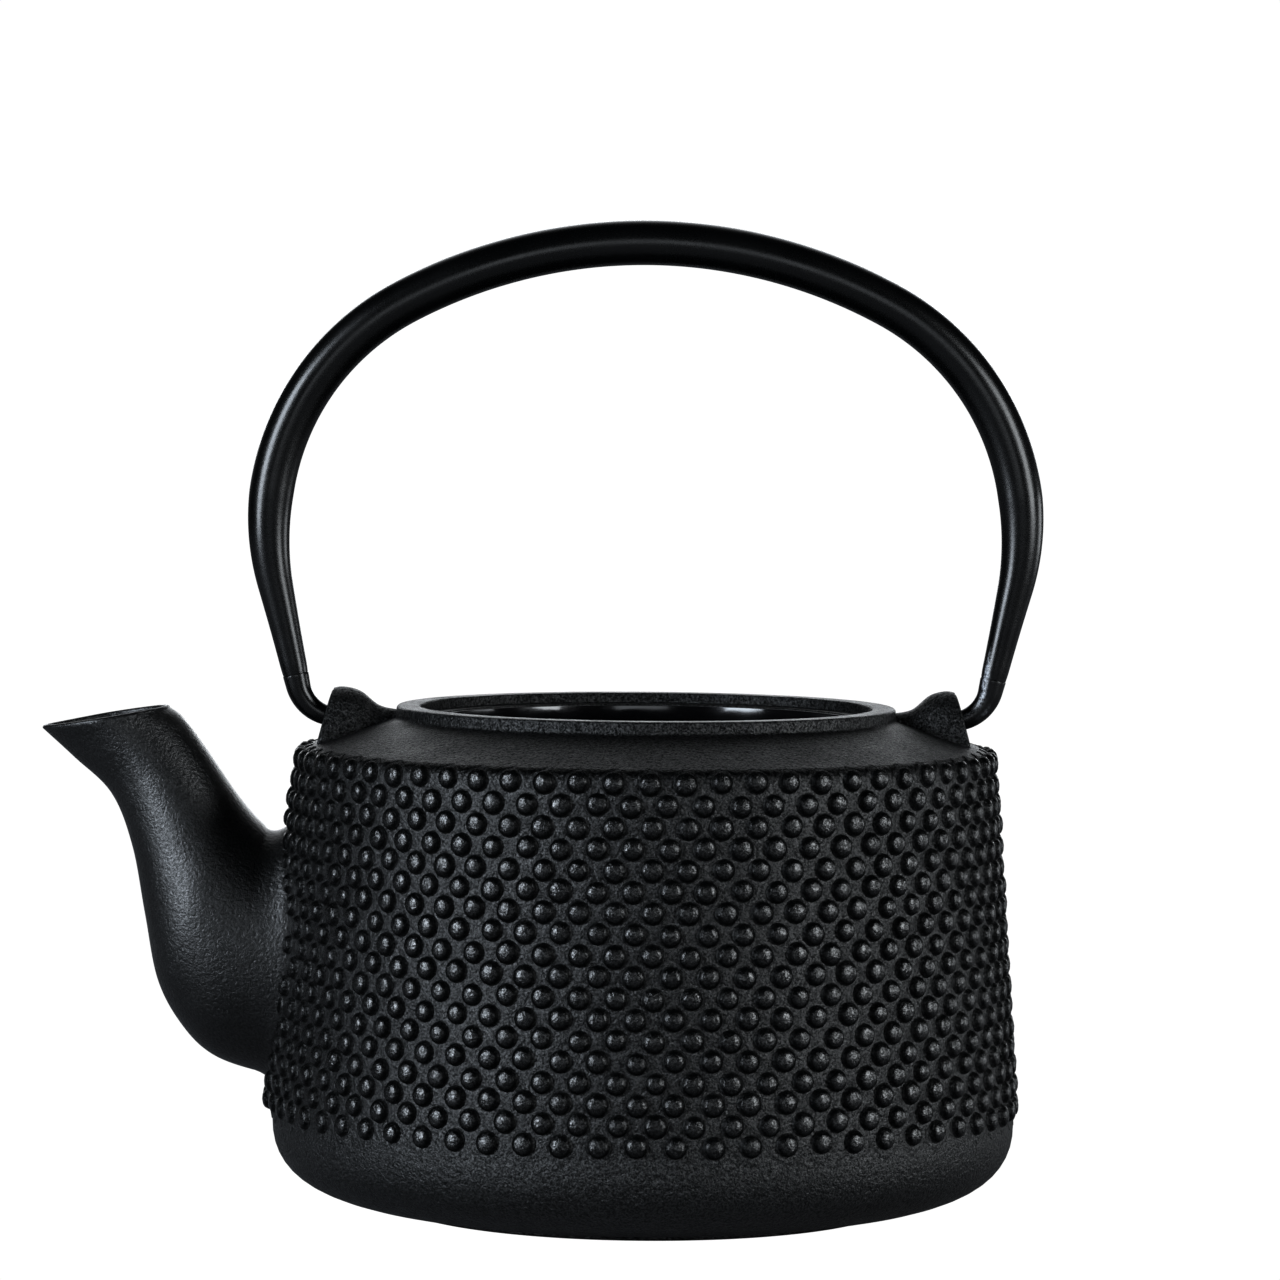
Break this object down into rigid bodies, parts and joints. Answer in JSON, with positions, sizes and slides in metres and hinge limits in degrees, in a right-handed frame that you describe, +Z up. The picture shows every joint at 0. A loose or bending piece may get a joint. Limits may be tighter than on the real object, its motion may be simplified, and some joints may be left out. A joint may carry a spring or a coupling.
{
  "type": "cast iron teapot",
  "caption": "Cast iron teapot: studded drum body, sloping shoulder, curved spout and a tubular bail handle that swings on lugs at the shoulder.",
  "frame": {"origin": "centre of the flat foot, on the pot's axis", "axes": "+Z up along the pot's axis, -X towards the spout, and the bail's pivot axis parallel to X"},
  "size_m": [0.2001, 0.1486, 0.197],
  "materials": {
    "lacquered_cast_iron": "satin black lacquer over a fine cast grain",
    "black_enamel": "glossy fired enamel",
    "lacquered_bail": "smooth semi-gloss black lacquer"
  },
  "bodies": {
    "pot": {"pot_body": "lacquered_cast_iron", "spout": "lacquered_cast_iron", "right_lug": "lacquered_cast_iron", "left_lug": "lacquered_cast_iron", "enamel_lining": "black_enamel"},
    "bail": {"bail_tube": "lacquered_bail", "right_hook": "lacquered_bail", "left_hook": "lacquered_bail"}
  },
  "joints": [
    {"name": "bail_swing", "type": "hinge", "parent": "pot", "child": "bail", "pos_m": [0, 0, 0.0973], "axis": [1, 0, 0], "range_deg": [-106, 106]}
  ]
}
